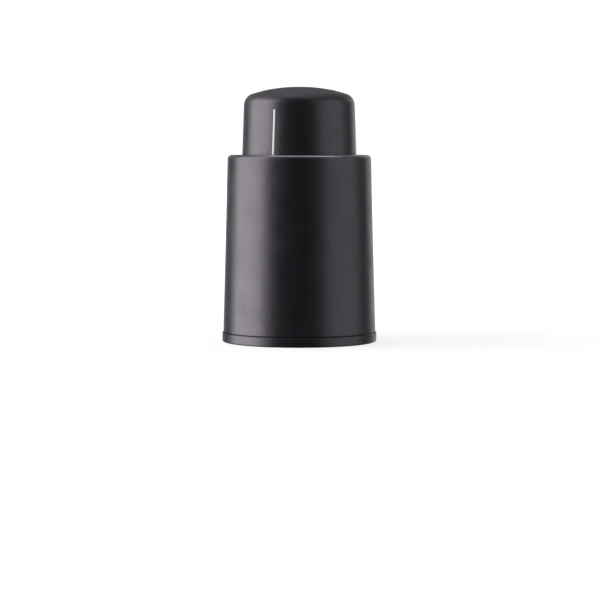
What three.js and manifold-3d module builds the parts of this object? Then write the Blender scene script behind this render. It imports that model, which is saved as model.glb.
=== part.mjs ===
// Press-to-pump vacuum stopper for wine bottles: a tapered black sleeve that drops over the neck of
// the bottle, with a spring-loaded plunger standing out of its top. Pressing the plunger pushes the
// air of the pump chamber out through the piston, and the spring lifts it again, which draws air
// out of the bottle through the hollow silicone plug. Millimetres, +Z up, resting on z = 0.
import * as THREE from "three";
import { mergeVertices } from "three/addons/utils/BufferGeometryUtils.js";
import Module from "manifold-3d";

const wasm = await Module();
wasm.setup();

// Outer shape
const RING_RADIUS = 22.0;
const RING_HEIGHT = 2.65;
const SLEEVE_BOTTOM = 2.95;
const SLEEVE_TOP = 53.1;
const SLEEVE_BOTTOM_RADIUS = 21.69;
const SLEEVE_TOP_RADIUS = 20.36;
const SLEEVE_EDGE_ROUND = 1.1;
const MOUTH_RADIUS = 16.6;
const MOUTH_DEPTH = 1.3;
const CAP_TOP = 72.3;
const CAP_RIM_RADIUS = 15.74;
const CAP_SKIRT_RADIUS = 16.51;
const CAP_EDGE_ROUND = 3.5;
const CAP_DOME_RADIUS = 48;
const CAP_FLAT_RADIUS = 3.0;
const CAP_UNDERSIDE = 69.9;
const CAP_INNER_TOP = 13.5;
const CAP_INNER_BOTTOM = 13.95;

// Inside of the sleeve
const SLEEVE_BORE = 18.45;
const FLANGE_BORE = 18.9;
const RING_BORE = 19.7;
const LEDGE_LEVEL = 21.9;
const BOSS_TOP = 27.0;
const SCREW_CIRCLE = 17.0;
const SCREW_COUNT = 3;

// Bottle end
const NECK_RADIUS = 16.0;
const NECK_OPENING = 16.2;
const LINER_RADIUS = 17.5;
const LINER_BOTTOM = 2.95;
const LINER_TOP = 17.3;
const SEAT_LEVEL = 17.5;
const GASKET_TOP = 19.5;
const GASKET_RADIUS = 15.2;
const GASKET_HOLE = 10.1;
const CORE_BOTTOM = 3.2;
const CORE_BORE = 4.2;
const CORE_RADIUS = 6.0;
const CORE_HEAD_RADIUS = 8.9;
const PLUG_BORE = 6.3;
const PLUG_BOTTOM = 4.7;
const PLUG_TOP = 17.2;

// Pump
const FLOOR_BOTTOM = 19.8;
const FLOOR_TOP = 21.6;
const FLANGE_RADIUS = 18.6;
const BORE_RADIUS = 9.6;
const BARREL_RADIUS = 10.9;
const BARREL_TOP = 46.3;
const PISTON_BOTTOM = 39.0;
const PISTON_TOP = 43.4;
const ROD_RADIUS = 4.2;
const ROD_BOTTOM = 43.7;
const ROD_TOP = 64.0;
const SKIRT_BOTTOM = 43.0;
const LIP_RADIUS = 18.1;
const LIP_HEIGHT = 2.0;
const AIR_HOLE_RADIUS = 0.8;
const AIR_HOLE_CIRCLE = 3.1;
const VALVE_HOLE_RADIUS = 1.4;

// Return spring
const SPRING_BOTTOM = 21.9;
const SPRING_TOP = 69.6;
const SPRING_RADIUS = 12.2;
const WIRE_RADIUS = 0.75;
const SPRING_TURNS = 9;
const CLOSED_PITCH = 1.62;

// Number of flats a full turn is made of
const OUTER_FLATS = 36;
const INNER_FLATS = 24;
const SCREW_FLATS = 12;
const WIRE_FLATS = 6;

// --- materials -----------------------------------------------------------------------------------

function material(name, color, roughness, metalness = 0) {
  const made = new THREE.MeshStandardMaterial({ color, roughness, metalness });
  made.name = name;
  return made;
}

const softTouchBlack = material("soft_touch_black", 0x1d1c20, 0.46);
const linerGrey = material("liner_grey", 0x4a4a4e, 0.55);
const acetalWhite = material("acetal_white", 0xe6e4dc, 0.4);
const pumpGrey = material("pump_grey", 0x8f9296, 0.42);
const siliconeDark = material("silicone_dark", 0x2f2f33, 0.7);
const siliconeClear = material("silicone_clear", 0xd3d0c6, 0.5);
const rubberBlack = material("rubber_black", 0x161617, 0.6);
const springSteel = material("spring_steel", 0xb9bbbd, 0.28, 1);
const screwSteel = material("screw_steel", 0xa7a8aa, 0.35, 1);

// --- shaping helpers -----------------------------------------------------------------------------

// A solid of revolution round Z from [radius, height] pairs, walked upwards on the outside.
function turned(profile, flats) {
  const points = profile.map(([radius, height]) => new THREE.Vector2(radius, height));
  const geometry = new THREE.LatheGeometry(points, flats);
  geometry.rotateX(Math.PI / 2);
  return geometry;
}

// The same for a section that doesn't reach the axis: the profile is closed on itself.
function turnedRing(profile, flats) {
  return turned([...profile, profile[0]], flats);
}

// Points of an arc from one angle to another, in degrees, both ends included.
function arc(centreRadius, centreHeight, radius, from, to, steps) {
  return Array.from({ length: steps + 1 }, (_, i) => {
    const angle = THREE.MathUtils.degToRad(from + ((to - from) * i) / steps);
    return [centreRadius + radius * Math.cos(angle), centreHeight + radius * Math.sin(angle)];
  });
}

// A plain round bar along Z between two heights, at a distance and angle from the axis.
function bar(radius, bottom, top, distance = 0, angle = 0, flats = SCREW_FLATS) {
  const profile = [
    [0, bottom],
    [radius, bottom],
    [radius, top],
    [0, top],
  ];
  const geometry = turned(profile, flats);
  geometry.translate(distance, 0, 0);
  geometry.rotateZ(angle);
  return geometry;
}

// A block between two distances from the axis and two heights, at an angle round the axis.
function block(near, far, width, bottom, top, angle) {
  const geometry = new THREE.BoxGeometry(far - near, width, top - bottom);
  geometry.translate((near + far) / 2, 0, (bottom + top) / 2);
  geometry.rotateZ(angle);
  return geometry;
}

function solid(geometry) {
  const flat = geometry.index ? geometry.toNonIndexed() : geometry;
  const bare = new THREE.BufferGeometry();
  bare.setAttribute("position", flat.getAttribute("position"));
  const merged = mergeVertices(bare, 1e-3);
  const mesh = new wasm.Mesh({
    numProp: 3,
    vertProperties: merged.getAttribute("position").array,
    triVerts: new Uint32Array(merged.index.array),
  });
  return new wasm.Manifold(mesh);
}

function geometryOf(manifold) {
  const mesh = manifold.getMesh();
  const geometry = new THREE.BufferGeometry();
  geometry.setAttribute("position", new THREE.BufferAttribute(mesh.vertProperties, 3));
  geometry.setIndex(new THREE.BufferAttribute(mesh.triVerts, 1));
  const split = geometry.toNonIndexed();
  split.computeVertexNormals();
  return split;
}

// The body with pieces added, then others cut away.
function shaped(body, added, removed) {
  let result = solid(body);
  for (const piece of added) {
    result = result.add(solid(piece));
  }
  for (const piece of removed) {
    result = result.subtract(solid(piece));
  }
  return geometryOf(result);
}

// The same piece made once for each of a number of equal steps round the axis.
function around(count, first, make) {
  return Array.from({ length: count }, (_, i) => make(first + (i * 2 * Math.PI) / count));
}

function piece(name, geometry, finish) {
  const mesh = new THREE.Mesh(geometry, finish);
  mesh.name = name;
  return mesh;
}

// --- housing -------------------------------------------------------------------------------------

// Tapered outer sleeve: open below, with a round mouth on top for the plunger and three screw
// bosses inside that carry the pump.
function outerSleeve() {
  const roundCentre = SLEEVE_TOP_RADIUS - SLEEVE_EDGE_ROUND + 0.02;
  const profile = [
    [SLEEVE_BOTTOM_RADIUS - 0.25, SLEEVE_BOTTOM],
    [SLEEVE_BOTTOM_RADIUS, SLEEVE_BOTTOM + 0.25],
    ...arc(roundCentre, SLEEVE_TOP - SLEEVE_EDGE_ROUND, SLEEVE_EDGE_ROUND, 0, 90, 3),
    [MOUTH_RADIUS + 0.35, SLEEVE_TOP],
    [MOUTH_RADIUS, SLEEVE_TOP - 0.35],
    [MOUTH_RADIUS, SLEEVE_TOP - MOUTH_DEPTH],
    [SLEEVE_BORE, SLEEVE_TOP - MOUTH_DEPTH],
    [SLEEVE_BORE, LEDGE_LEVEL],
    [FLANGE_BORE, LEDGE_LEVEL],
    [FLANGE_BORE, 9.0],
    [RING_BORE, 9.0],
    [RING_BORE, 7.0],
    [RING_BORE + 0.4, 6.7],
    [RING_BORE + 0.4, 5.4],
    [RING_BORE, 5.1],
    [RING_BORE, SLEEVE_BOTTOM],
  ];
  const bosses = around(SCREW_COUNT, Math.PI / 2, (angle) =>
    bar(2.0, LEDGE_LEVEL, BOSS_TOP, SCREW_CIRCLE, angle),
  );
  const pilots = around(SCREW_COUNT, Math.PI / 2, (angle) =>
    bar(1.0, LEDGE_LEVEL - 1, BOSS_TOP - 0.6, SCREW_CIRCLE, angle),
  );
  return shaped(turnedRing(profile, OUTER_FLATS), bosses, pilots);
}

// Plain bush under the mouth: it guides the plunger and stops the lip of its skirt.
function guideRing() {
  const profile = [
    [16.95, 45.3],
    [18.2, 45.3],
    [18.2, 51.5],
    [16.75, 51.5],
    [16.75, 45.5],
  ];
  return turnedRing(profile, OUTER_FLATS);
}

// Ring that closes the sleeve at the bottom, with a snap tongue inside it and four shallow
// grooves in its top through which the pumped air leaves at the neck.
function baseRing() {
  const foot = 0.7;
  const profile = [
    [NECK_OPENING + 0.5, 0],
    ...arc(RING_RADIUS - foot, foot, foot, -90, 0, 3),
    [RING_RADIUS, RING_HEIGHT - 0.25],
    [RING_RADIUS - 0.25, RING_HEIGHT],
    [19.4, RING_HEIGHT],
    [19.4, 5.5],
    [19.75, 5.8],
    [19.75, 6.2],
    [19.3, 6.8],
    [18.3, 6.8],
    [18.3, RING_HEIGHT],
    [NECK_OPENING, RING_HEIGHT],
    [NECK_OPENING, 0.5],
  ];
  const grooves = around(4, Math.PI / 4, (angle) =>
    block(NECK_OPENING - 1, 18.15, 3.0, RING_HEIGHT - 0.9, RING_HEIGHT + 1, angle),
  );
  return shaped(turnedRing(profile, OUTER_FLATS), [], grooves);
}

// Sleeve of softer plastic that centres the neck of the bottle.
function neckLiner() {
  const profile = [
    [NECK_RADIUS + 0.6, LINER_BOTTOM],
    [LINER_RADIUS, LINER_BOTTOM],
    [LINER_RADIUS, LINER_TOP],
    [NECK_RADIUS, LINER_TOP],
    [NECK_RADIUS, LINER_BOTTOM + 0.9],
  ];
  return turnedRing(profile, OUTER_FLATS);
}

// --- bottle plug ---------------------------------------------------------------------------------

// Hollow spindle the silicone plug is pushed on to, with a seal groove in its wide head.
function plugCore() {
  const profile = [
    [CORE_BORE, CORE_BOTTOM],
    [7.0, CORE_BOTTOM],
    [7.4, CORE_BOTTOM + 0.4],
    [7.4, CORE_BOTTOM + 1.2],
    [CORE_RADIUS, CORE_BOTTOM + 1.2],
    [CORE_RADIUS, SEAT_LEVEL],
    [CORE_HEAD_RADIUS, SEAT_LEVEL],
    [CORE_HEAD_RADIUS, GASKET_TOP],
    [7.9, GASKET_TOP],
    [7.9, GASKET_TOP - 1],
    [6.1, GASKET_TOP - 1],
    [6.1, GASKET_TOP],
    [CORE_BORE, GASKET_TOP],
  ];
  return turnedRing(profile, INNER_FLATS);
}

// Small O-ring between the spindle and the floor of the pump.
function plugCoreSeal() {
  const section = arc(7.0, GASKET_TOP - 0.4, 0.5, -90, 225, 7);
  return turnedRing(section, INNER_FLATS);
}

// Tapered silicone plug with three sealing ribs.
function bottlePlug() {
  const ribs = [7.4, 10.8, 14.2].flatMap((level, i) => {
    const valley = 8.9 + 0.15 * i;
    return [
      [valley, level - 0.9],
      [valley + 0.7, level - 0.25],
      [valley + 0.7, level + 0.25],
      [valley + 0.15, level + 0.9],
    ];
  });
  const profile = [
    [PLUG_BORE, PLUG_BOTTOM],
    [7.6, PLUG_BOTTOM],
    [8.6, PLUG_BOTTOM + 0.9],
    ...ribs,
    [9.3, PLUG_TOP],
    [PLUG_BORE, PLUG_TOP],
  ];
  return turnedRing(profile, INNER_FLATS);
}

// Flat silicone washer that lands on the lip of the bottle.
function lipGasket() {
  const profile = [
    [GASKET_HOLE, SEAT_LEVEL],
    [GASKET_RADIUS - 0.3, SEAT_LEVEL],
    [GASKET_RADIUS, SEAT_LEVEL + 0.3],
    [GASKET_RADIUS, GASKET_TOP],
    [GASKET_HOLE, GASKET_TOP],
  ];
  return turnedRing(profile, OUTER_FLATS);
}

// --- pump ----------------------------------------------------------------------------------------

function airHoles(bottom, top) {
  return around(4, Math.PI / 4, (angle) =>
    bar(AIR_HOLE_RADIUS, bottom, top, AIR_HOLE_CIRCLE, angle, 8),
  );
}

// Pump barrel with its floor and the flange that hangs it in the sleeve; three notches in the
// flange let the pumped air down to the base ring.
function pumpCylinder() {
  const profile = [
    [VALVE_HOLE_RADIUS, FLOOR_BOTTOM],
    [FLANGE_RADIUS, FLOOR_BOTTOM],
    [FLANGE_RADIUS, FLOOR_TOP],
    [BARREL_RADIUS, FLOOR_TOP],
    [BARREL_RADIUS, BARREL_TOP],
    [BORE_RADIUS + 0.3, BARREL_TOP],
    [BORE_RADIUS, BARREL_TOP - 0.4],
    [BORE_RADIUS, FLOOR_TOP],
    [VALVE_HOLE_RADIUS, FLOOR_TOP],
  ];
  const screwHoles = around(SCREW_COUNT, Math.PI / 2, (angle) =>
    bar(1.25, FLOOR_BOTTOM - 1, FLOOR_TOP + 1, SCREW_CIRCLE, angle),
  );
  const notches = around(SCREW_COUNT, -Math.PI / 2, (angle) =>
    block(17.3, 20, 7, FLOOR_BOTTOM - 1, FLOOR_TOP + 1, angle),
  );
  const holes = airHoles(FLOOR_BOTTOM - 1, FLOOR_TOP + 1);
  return shaped(turnedRing(profile, INNER_FLATS), [], [...screwHoles, ...notches, ...holes]);
}

// Lid of the barrel: a bearing for the rod, with four vents.
function cylinderCap() {
  const bottom = BARREL_TOP + 0.3;
  const profile = [
    [ROD_RADIUS + 0.4, bottom],
    [8.3, bottom],
    [8.3, bottom - 1.8],
    [9.2, bottom - 1.8],
    [9.2, bottom],
    [BARREL_RADIUS, bottom],
    [BARREL_RADIUS, bottom + 1.5],
    [BARREL_RADIUS - 0.3, bottom + 1.8],
    [ROD_RADIUS + 0.4, bottom + 1.8],
  ];
  const vents = around(4, 0, (angle) => bar(1.0, bottom - 1, bottom + 3, 6.7, angle, 8));
  return shaped(turnedRing(profile, INNER_FLATS), [], vents);
}

// Umbrella valve, its sealing face at height 0: a thin domed disc on a stem with a barb below.
function umbrellaValve() {
  const profile = [
    [0, -3.9],
    [0.6, -3.9],
    [1.65, -3.05],
    [1.1, -3.05],
    [1.1, -0.1],
    [4.3, 0],
    [4.5, 0.25],
    [3.0, 0.6],
    [0, 0.7],
  ];
  return turned(profile, INNER_FLATS);
}

// --- plunger -------------------------------------------------------------------------------------

// Push cap: domed top with a small flat in the middle and a wide round edge, straight drafted wall,
// a skirt that ends in a lip, and a screw post in the middle for the piston rod.
function plungerCap() {
  // The dome is part of a sphere that passes through the rim of the flat, and the edge round is
  // tangent to both the dome and the wall.
  const sphereDrop = CAP_DOME_RADIUS - Math.sqrt(CAP_DOME_RADIUS ** 2 - CAP_FLAT_RADIUS ** 2);
  const sphereLevel = CAP_TOP + sphereDrop - CAP_DOME_RADIUS;
  const roundCentre = CAP_RIM_RADIUS - CAP_EDGE_ROUND;
  const reach = CAP_DOME_RADIUS - CAP_EDGE_ROUND;
  const roundLevel = sphereLevel + Math.sqrt(reach ** 2 - roundCentre ** 2);
  const meet = THREE.MathUtils.radToDeg(Math.acos(roundCentre / reach));
  const flatEdge = THREE.MathUtils.radToDeg(Math.acos(CAP_FLAT_RADIUS / CAP_DOME_RADIUS));
  const profile = [
    [0, CAP_UNDERSIDE - 0.8],
    [1.2, CAP_UNDERSIDE - 0.8],
    [1.2, ROD_TOP + 0.2],
    [ROD_RADIUS, ROD_TOP + 0.2],
    [ROD_RADIUS, CAP_UNDERSIDE],
    [12.7, CAP_UNDERSIDE],
    [CAP_INNER_TOP, CAP_UNDERSIDE - 0.9],
    [CAP_INNER_BOTTOM, SKIRT_BOTTOM],
    [LIP_RADIUS, SKIRT_BOTTOM],
    [LIP_RADIUS, SKIRT_BOTTOM + LIP_HEIGHT],
    [CAP_SKIRT_RADIUS, SKIRT_BOTTOM + LIP_HEIGHT],
    ...arc(roundCentre, roundLevel, CAP_EDGE_ROUND, 0, meet, 4),
    ...arc(0, sphereLevel, CAP_DOME_RADIUS, meet, flatEdge, 3).slice(1),
    [0, CAP_TOP],
  ];
  return turned(profile, OUTER_FLATS);
}

// Piston rod: hollow, so that its screw can be reached from below, ending in a slotted bell that
// roofs the exhaust valve.
function pistonStem() {
  const profile = [
    [5.9, ROD_BOTTOM],
    [7.5, ROD_BOTTOM],
    [7.5, 46.2],
    [ROD_RADIUS, 46.2],
    [ROD_RADIUS, ROD_TOP],
    [1.3, ROD_TOP],
    [1.3, ROD_TOP - 2],
    [2.6, ROD_TOP - 2],
    [2.6, 45.3],
    [5.9, 45.3],
  ];
  const slots = around(4, 0, (angle) => block(5, 9, 2.6, ROD_BOTTOM - 1, 45.0, angle));
  return shaped(turnedRing(profile, INNER_FLATS), [], slots);
}

// Piston: a web with the air holes, and the groove of the cup seal round it.
function pistonHead() {
  const profile = [
    [5.2, PISTON_BOTTOM],
    [8.1, PISTON_BOTTOM],
    [8.1, 40.0],
    [6.9, 40.0],
    [6.9, 42.2],
    [9.2, 42.2],
    [9.2, PISTON_TOP],
    [VALVE_HOLE_RADIUS, PISTON_TOP],
    [VALVE_HOLE_RADIUS, 41.4],
    [5.2, 41.4],
  ];
  const holes = airHoles(PISTON_BOTTOM, PISTON_TOP + 1);
  return shaped(turnedRing(profile, INNER_FLATS), [], holes);
}

// Cup seal, its two lips facing the pressure side below.
function pistonSeal() {
  const profile = [
    [7.15, 40.3],
    [7.6, 40.3],
    [8.0, 41.1],
    [8.65, 41.1],
    [9.05, 40.25],
    [9.45, 40.25],
    [9.2, 41.3],
    [9.05, 42.0],
    [7.15, 42.0],
  ];
  return turnedRing(profile, INNER_FLATS);
}

// --- hardware ------------------------------------------------------------------------------------

// Cross-head screw standing on the axis, head down, the underside of the head at height 0.
function screw(headRadius, headHeight, shankRadius, length) {
  const profile = [
    [0, -headHeight],
    [headRadius * 0.75, -headHeight],
    [headRadius, -headHeight * 0.55],
    [headRadius, 0],
    [shankRadius, 0],
    [shankRadius, length - shankRadius],
    [0, length],
  ];
  const width = headRadius * 0.32;
  const reach = headRadius * 0.62;
  const depth = -headHeight * 0.45;
  const slots = [0, Math.PI / 2].map((angle) =>
    block(-reach, reach, width, -headHeight - 1, depth, angle),
  );
  return shaped(turned(profile, SCREW_FLATS), [], slots);
}

// Height of the wire above the foot of the spring after a number of turns: closed end turns, and
// even open ones between them.
function wireHeight(turns) {
  const open = SPRING_TOP - SPRING_BOTTOM - 2 * WIRE_RADIUS - 2 * CLOSED_PITCH;
  const share = THREE.MathUtils.clamp((turns - 1) / (SPRING_TURNS - 2), 0, 1);
  const closed = Math.min(turns, 1) + Math.max(turns - SPRING_TURNS + 1, 0);
  return WIRE_RADIUS + closed * CLOSED_PITCH + share * open;
}

// Compression spring: round wire wound round the barrel, flat-cut at both ends.
function returnSpring() {
  const steps = SPRING_TURNS * 16;
  const positions = [];
  for (let i = 0; i <= steps; i += 1) {
    const turns = (SPRING_TURNS * i) / steps;
    const angle = 2 * Math.PI * turns;
    for (let k = 0; k < WIRE_FLATS; k += 1) {
      const round = (2 * Math.PI * k) / WIRE_FLATS;
      const radius = SPRING_RADIUS + WIRE_RADIUS * Math.cos(round);
      const height = SPRING_BOTTOM + wireHeight(turns) + WIRE_RADIUS * Math.sin(round);
      positions.push(radius * Math.cos(angle), radius * Math.sin(angle), height);
    }
  }
  const triangles = [];
  for (let i = 0; i < steps; i += 1) {
    for (let k = 0; k < WIRE_FLATS; k += 1) {
      const next = (k + 1) % WIRE_FLATS;
      const a = i * WIRE_FLATS + k;
      const b = i * WIRE_FLATS + next;
      triangles.push(a, a + WIRE_FLATS, b);
      triangles.push(b, a + WIRE_FLATS, b + WIRE_FLATS);
    }
  }
  const last = steps * WIRE_FLATS;
  for (let k = 1; k < WIRE_FLATS - 1; k += 1) {
    triangles.push(0, k, k + 1);
    triangles.push(last, last + k + 1, last + k);
  }
  const geometry = new THREE.BufferGeometry();
  geometry.setAttribute("position", new THREE.Float32BufferAttribute(positions, 3));
  geometry.setIndex(triangles);
  geometry.computeVertexNormals();
  return geometry;
}

// --- assembly ------------------------------------------------------------------------------------

function housing() {
  const group = new THREE.Group();
  group.name = "housing";
  group.add(piece("outer_sleeve", outerSleeve(), softTouchBlack));
  group.add(piece("guide_ring", guideRing(), acetalWhite));
  group.add(piece("base_ring", baseRing(), softTouchBlack));
  group.add(piece("neck_liner", neckLiner(), linerGrey));
  group.add(piece("pump_cylinder", pumpCylinder(), pumpGrey));
  group.add(piece("cylinder_cap", cylinderCap(), pumpGrey));
  group.add(piece("plug_core", plugCore(), pumpGrey));
  group.add(piece("plug_core_seal", plugCoreSeal(), rubberBlack));
  group.add(piece("bottle_plug", bottlePlug(), siliconeDark));
  group.add(piece("lip_gasket", lipGasket(), siliconeClear));

  const intake = piece("intake_valve", umbrellaValve(), siliconeClear);
  intake.position.z = FLOOR_TOP + 0.2;
  group.add(intake);

  const flangeScrew = screw(1.4, 1.4, 0.85, 6.0);
  around(SCREW_COUNT, Math.PI / 2, (angle) => angle).forEach((angle, i) => {
    const copy = piece("flange_screw_" + (i + 1), flangeScrew, screwSteel);
    const x = SCREW_CIRCLE * Math.cos(angle);
    const y = SCREW_CIRCLE * Math.sin(angle);
    copy.position.set(x, y, FLOOR_BOTTOM - 0.2);
    copy.rotation.z = angle;
    group.add(copy);
  });
  return group;
}

function plunger() {
  const group = new THREE.Group();
  group.name = "plunger";
  group.add(piece("plunger_cap", plungerCap(), softTouchBlack));
  group.add(piece("piston_stem", pistonStem(), acetalWhite));
  group.add(piece("piston_head", pistonHead(), acetalWhite));
  group.add(piece("piston_seal", pistonSeal(), rubberBlack));

  const exhaust = piece("exhaust_valve", umbrellaValve(), siliconeClear);
  exhaust.position.z = PISTON_TOP + 0.2;
  group.add(exhaust);

  const stemScrew = piece("stem_screw", screw(2.2, 1.5, 1.0, 7.0), screwSteel);
  stemScrew.position.z = ROD_TOP - 2.2;
  group.add(stemScrew);
  return group;
}

const vacuumStopper = new THREE.Group();
vacuumStopper.name = "press_pump_vacuum_stopper";
vacuumStopper.add(housing());
vacuumStopper.add(plunger());
vacuumStopper.add(piece("return_spring", returnSpring(), springSteel));

export default vacuumStopper;
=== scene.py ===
"""Looks of the press-pump vacuum bottle stopper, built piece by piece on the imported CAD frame.

Outlines are given in millimetres as (radius, height, rounding of that corner) and turned round the
axis of the stopper. Heights and outer radii come from the boxes of the CAD nodes.
"""

import math

import bmesh
import bpy
from mathutils import Matrix, Vector


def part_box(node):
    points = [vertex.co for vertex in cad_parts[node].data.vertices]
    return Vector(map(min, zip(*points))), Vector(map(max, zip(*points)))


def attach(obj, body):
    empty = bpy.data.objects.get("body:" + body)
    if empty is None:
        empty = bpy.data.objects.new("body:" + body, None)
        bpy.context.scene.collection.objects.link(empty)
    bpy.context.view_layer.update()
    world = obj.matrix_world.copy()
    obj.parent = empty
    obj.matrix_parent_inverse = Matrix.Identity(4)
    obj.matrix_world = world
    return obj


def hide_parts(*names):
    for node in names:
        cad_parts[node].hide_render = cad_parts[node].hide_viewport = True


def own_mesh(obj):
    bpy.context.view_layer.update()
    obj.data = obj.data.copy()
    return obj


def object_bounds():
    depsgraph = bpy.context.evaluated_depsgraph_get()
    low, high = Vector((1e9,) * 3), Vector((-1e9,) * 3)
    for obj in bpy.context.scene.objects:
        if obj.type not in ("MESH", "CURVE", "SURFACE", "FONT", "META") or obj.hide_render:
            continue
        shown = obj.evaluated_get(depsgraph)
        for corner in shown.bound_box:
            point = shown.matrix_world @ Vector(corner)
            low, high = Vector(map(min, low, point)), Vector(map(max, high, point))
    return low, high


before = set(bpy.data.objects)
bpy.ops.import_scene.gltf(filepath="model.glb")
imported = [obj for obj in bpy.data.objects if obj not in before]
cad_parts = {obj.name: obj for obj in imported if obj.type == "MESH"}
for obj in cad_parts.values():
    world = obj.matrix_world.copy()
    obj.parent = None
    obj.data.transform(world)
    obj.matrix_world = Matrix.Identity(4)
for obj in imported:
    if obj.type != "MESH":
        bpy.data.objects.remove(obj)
cad_box = [list(corner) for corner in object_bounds()]

MM = 0.001
FINE = 192  # steps round the axis on the outer pieces
MEDIUM = 96  # on the pieces inside
SMALL = 32  # on screws and holes
ARC_STEP = math.radians(9)
LONG_STRAIGHT = 1.0  # a straight over this length gets a point near both its ends
END_MARGIN = 0.15  # how near, in millimetres
SHARP_ANGLE = math.radians(32)
SHORTEST = 0.02 * MM  # distance between faces under which their angle says nothing
PRESS_FACE_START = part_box("plunger_cap")[1].z - 4.0 * MM
PRESS_FACE_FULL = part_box("plunger_cap")[1].z - 2.6 * MM


# --- mesh tools ------------------------------------------------------------------------------------


def span(node):
    """Outer radius, bottom and top of a CAD node that is centred on the axis, in millimetres."""
    low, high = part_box(node)
    return high.x / MM, low.z / MM, high.z / MM


def corner_arc(before, corner, after, radius):
    """Points of the arc that rounds a corner of an outline, its radius limited by the straights on
    both sides."""
    first = corner - before
    second = after - corner
    turn = first.angle_signed(second) * -1
    if radius <= 0 or abs(turn) < 1e-4:
        return [corner]
    reach = radius * math.tan(abs(turn) / 2)
    limit = 0.49 * min(first.length, second.length)
    if reach > limit:
        radius *= limit / reach
        reach = limit
    start = corner - first.normalized() * reach
    side = 1 if turn > 0 else -1
    normal = Vector((-first.y, first.x)).normalized() * side
    centre = start + normal * radius
    steps = max(2, math.ceil(abs(turn) / ARC_STEP))
    arm = start - centre
    points = []
    for i in range(steps + 1):
        angle = turn * i / steps
        cosine, sine = math.cos(angle), math.sin(angle)
        points.append(
            centre + Vector((arm.x * cosine - arm.y * sine, arm.x * sine + arm.y * cosine))
        )
    return points


def rounded(corners):
    """The fine line of an outline: arcs at the rounded corners, and a point close to both ends of
    each long straight, so that smooth shading stays in the arcs."""
    on_axis = corners[0][0] == 0
    points = [Vector((c[0], c[1])) for c in corners]
    rounding = [c[2] if len(c) > 2 else 0 for c in corners]
    count = len(points)
    line = []
    for i, point in enumerate(points):
        if on_axis and i in (0, count - 1):
            line.append(point)
        else:
            line += corner_arc(points[i - 1], point, points[(i + 1) % count], rounding[i])
    pairs = zip(line, line[1:] if on_axis else line[1:] + line[:1])
    fine = []
    for start, end in pairs:
        fine.append(start)
        length = (end - start).length
        if length > LONG_STRAIGHT:
            fine.append(start.lerp(end, END_MARGIN / length))
            fine.append(start.lerp(end, 1 - END_MARGIN / length))
    if on_axis:
        fine.append(line[-1])
    return fine


def new_piece(name, vertices, faces):
    """Object of a new mesh, its faces turned outwards."""
    mesh = bpy.data.meshes.new(name)
    mesh.from_pydata(vertices, [], faces)
    shell = bmesh.new()
    shell.from_mesh(mesh)
    bmesh.ops.recalc_face_normals(shell, faces=shell.faces)
    shell.to_mesh(mesh)
    shell.free()
    piece = bpy.data.objects.new(name, mesh)
    bpy.context.scene.collection.objects.link(piece)
    return piece


def turned(name, corners, steps):
    """A piece turned round Z. An outline that starts and ends on the axis is closed there, and any
    other is a ring."""
    line = rounded(corners)
    on_axis = line[0].x == 0
    rings = line[1:-1] if on_axis else line
    vertices = []
    for point in rings:
        for k in range(steps):
            angle = 2 * math.pi * k / steps
            vertices.append(
                (
                    point.x * math.cos(angle) * MM,
                    point.x * math.sin(angle) * MM,
                    point.y * MM,
                )
            )
    faces = []
    last = len(rings) - 1
    for i in range(last if on_axis else last + 1):
        lower, upper = i * steps, ((i + 1) % len(rings)) * steps
        for k in range(steps):
            following = (k + 1) % steps
            faces.append((lower + k, lower + following, upper + following, upper + k))
    if on_axis:
        for point, ring in ((line[0], 0), (line[-1], last)):
            pole = len(vertices)
            vertices.append((0, 0, point.y * MM))
            for k in range(steps):
                faces.append((pole, ring * steps + k, ring * steps + (k + 1) % steps))
    return new_piece(name, vertices, faces)


def moved(piece, offset=(0, 0, 0), angle=0.0):
    """Shifts the mesh by millimetres, then turns it round the axis of the stopper."""
    shift = Matrix.Translation(Vector(offset) * MM)
    piece.data.transform(Matrix.Rotation(angle, 4, "Z") @ shift)
    return piece


def bar(radius, bottom, top, distance=0.0, angle=0.0):
    """Upright round bar at a distance from the axis."""
    outline = [(0, bottom), (radius, bottom), (radius, top), (0, top)]
    return moved(turned("bar", outline, SMALL), (distance, 0, 0), angle)


def block(near, far, width, bottom, top, angle=0.0):
    """Box between two distances from the axis, turned to an angle."""
    half = width / 2
    corners = [
        (x * MM, y * MM, z * MM)
        for x in (near, far)
        for y in (-half, half)
        for z in (bottom, top)
    ]
    faces = [(0, 1, 3, 2), (4, 6, 7, 5), (0, 4, 5, 1), (2, 3, 7, 6), (0, 2, 6, 4), (1, 5, 7, 3)]
    return moved(new_piece("block", corners, faces), angle=angle)


def around(count, first, make):
    """Pieces made at equal angles round the axis."""
    return [make(first + 2 * math.pi * i / count) for i in range(count)]


def combined(piece, added=(), removed=()):
    """Joins some pieces to this one and cuts others out of it, and keeps only the result."""
    for operation, tools in (("UNION", added), ("DIFFERENCE", removed)):
        for tool in tools:
            step = piece.modifiers.new("join", "BOOLEAN")
            step.operation = operation
            step.solver = "EXACT"
            step.object = tool
    graph = bpy.context.evaluated_depsgraph_get()
    result = bpy.data.meshes.new_from_object(piece.evaluated_get(graph))
    piece.modifiers.clear()
    piece.data = result
    for tool in [*added, *removed]:
        bpy.data.objects.remove(tool)
    return piece


def shade(piece):
    """Smooth faces, with the edges sharp where two faces meet at a real angle."""
    shell = bmesh.new()
    shell.from_mesh(piece.data)
    for face in shell.faces:
        face.smooth = True
    for edge in shell.edges:
        edge.smooth = len(edge.link_faces) == 2 and edge.calc_face_angle() < SHARP_ANGLE
    shell.to_mesh(piece.data)
    shell.free()


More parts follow.
